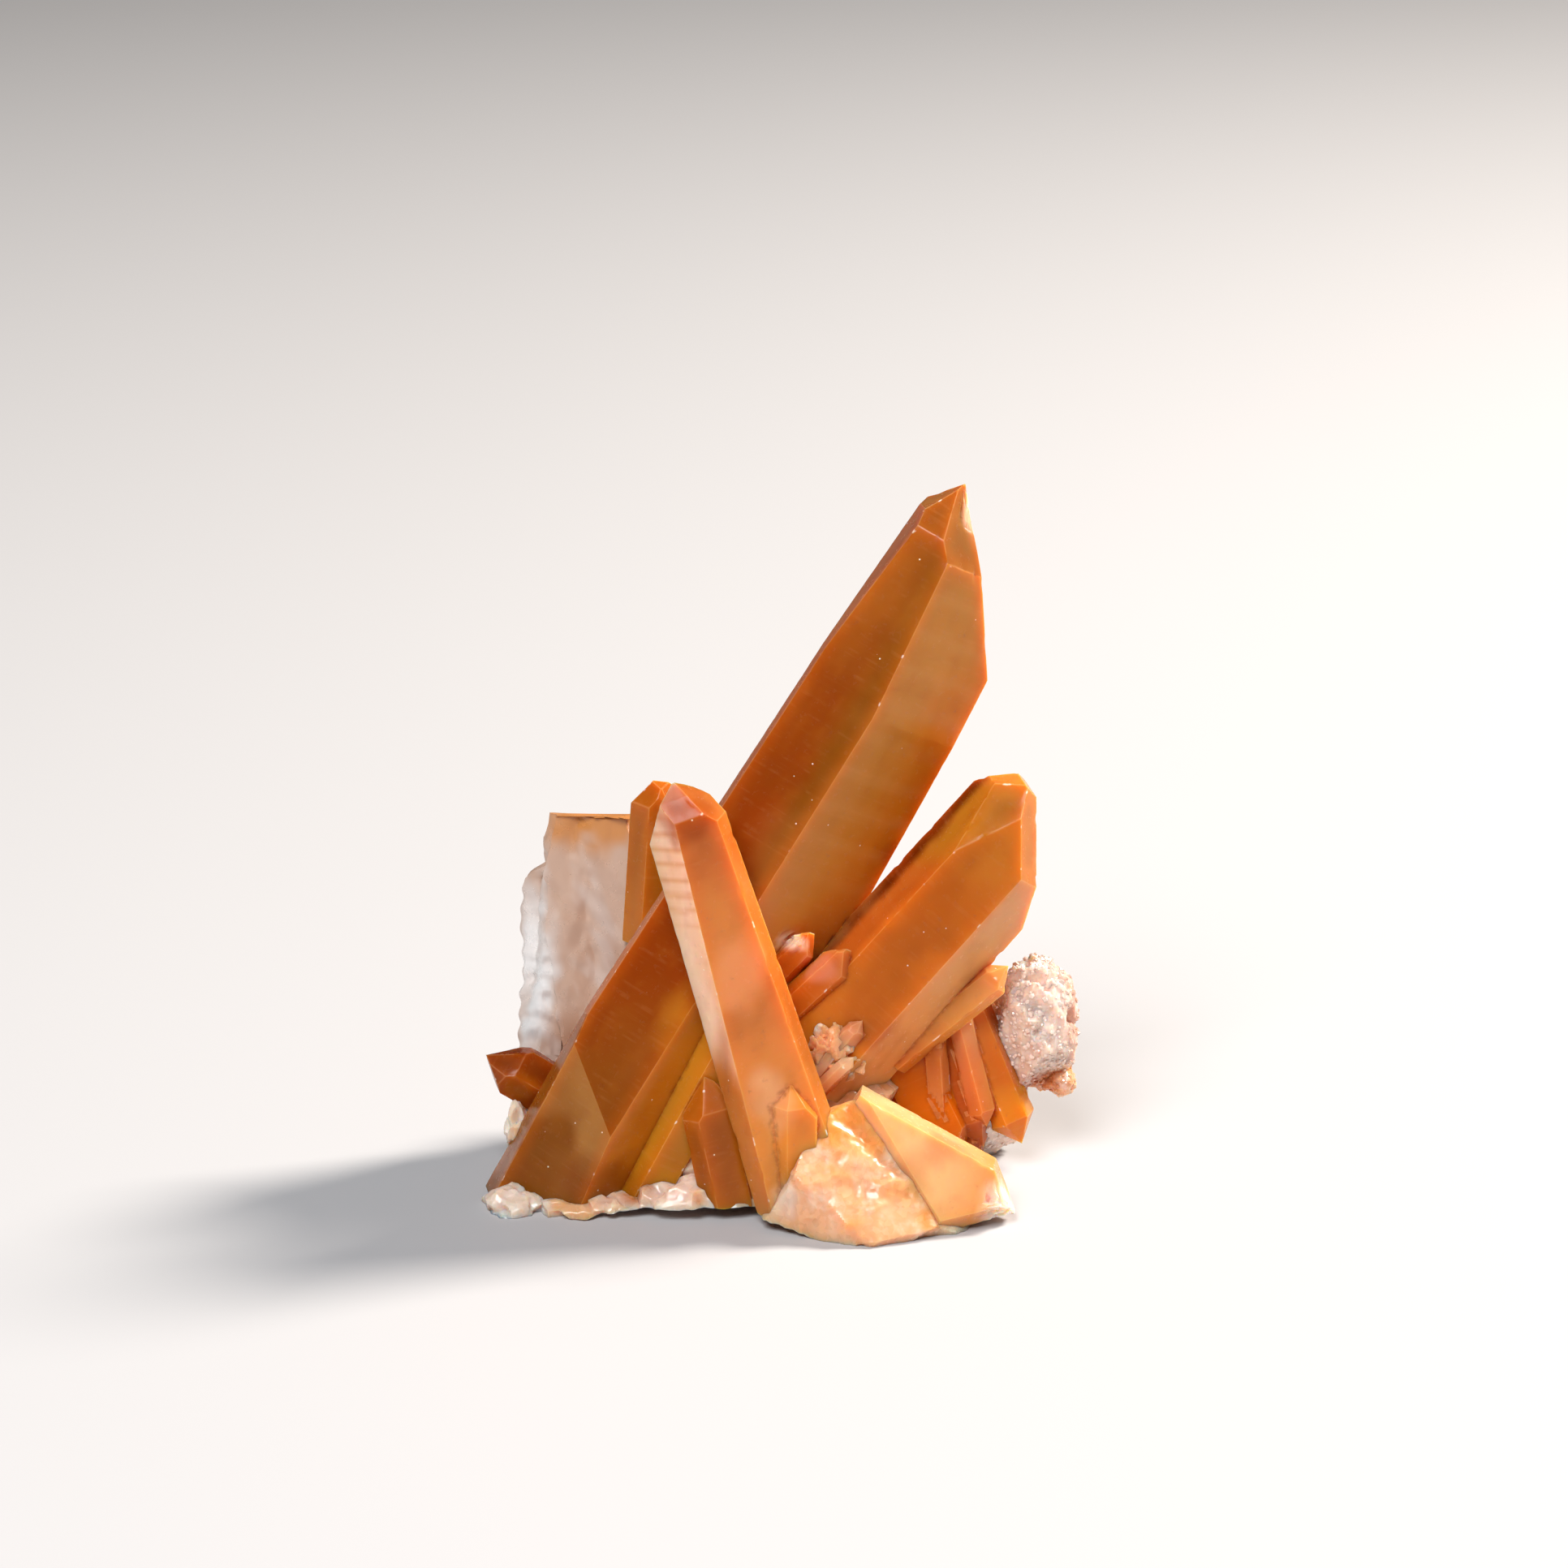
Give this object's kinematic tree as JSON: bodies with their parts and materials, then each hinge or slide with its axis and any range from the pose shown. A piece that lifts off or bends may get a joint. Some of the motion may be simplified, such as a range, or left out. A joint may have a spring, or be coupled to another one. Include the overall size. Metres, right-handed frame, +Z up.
{
  "type": "tangerine quartz cluster",
  "caption": "Cluster of translucent orange iron-stained quartz crystals leaning out of a broken white quartz base, with a clear shard and a sugary druse; rests on its flat underside.",
  "frame": {"origin": "on the surface the cluster rests on, under the middle of its box", "axes": "+Z up, along the tall crystal's rise; -Y is the front that the picture shows; +X is the side the tall crystal leans to"},
  "size_m": [0.0505, 0.0311, 0.0584],
  "materials": {
    "tangerine_quartz": "glossy, translucent"
  },
  "bodies": {
    "root": {"quartz_cluster": "tangerine_quartz"}
  },
  "joints": []
}
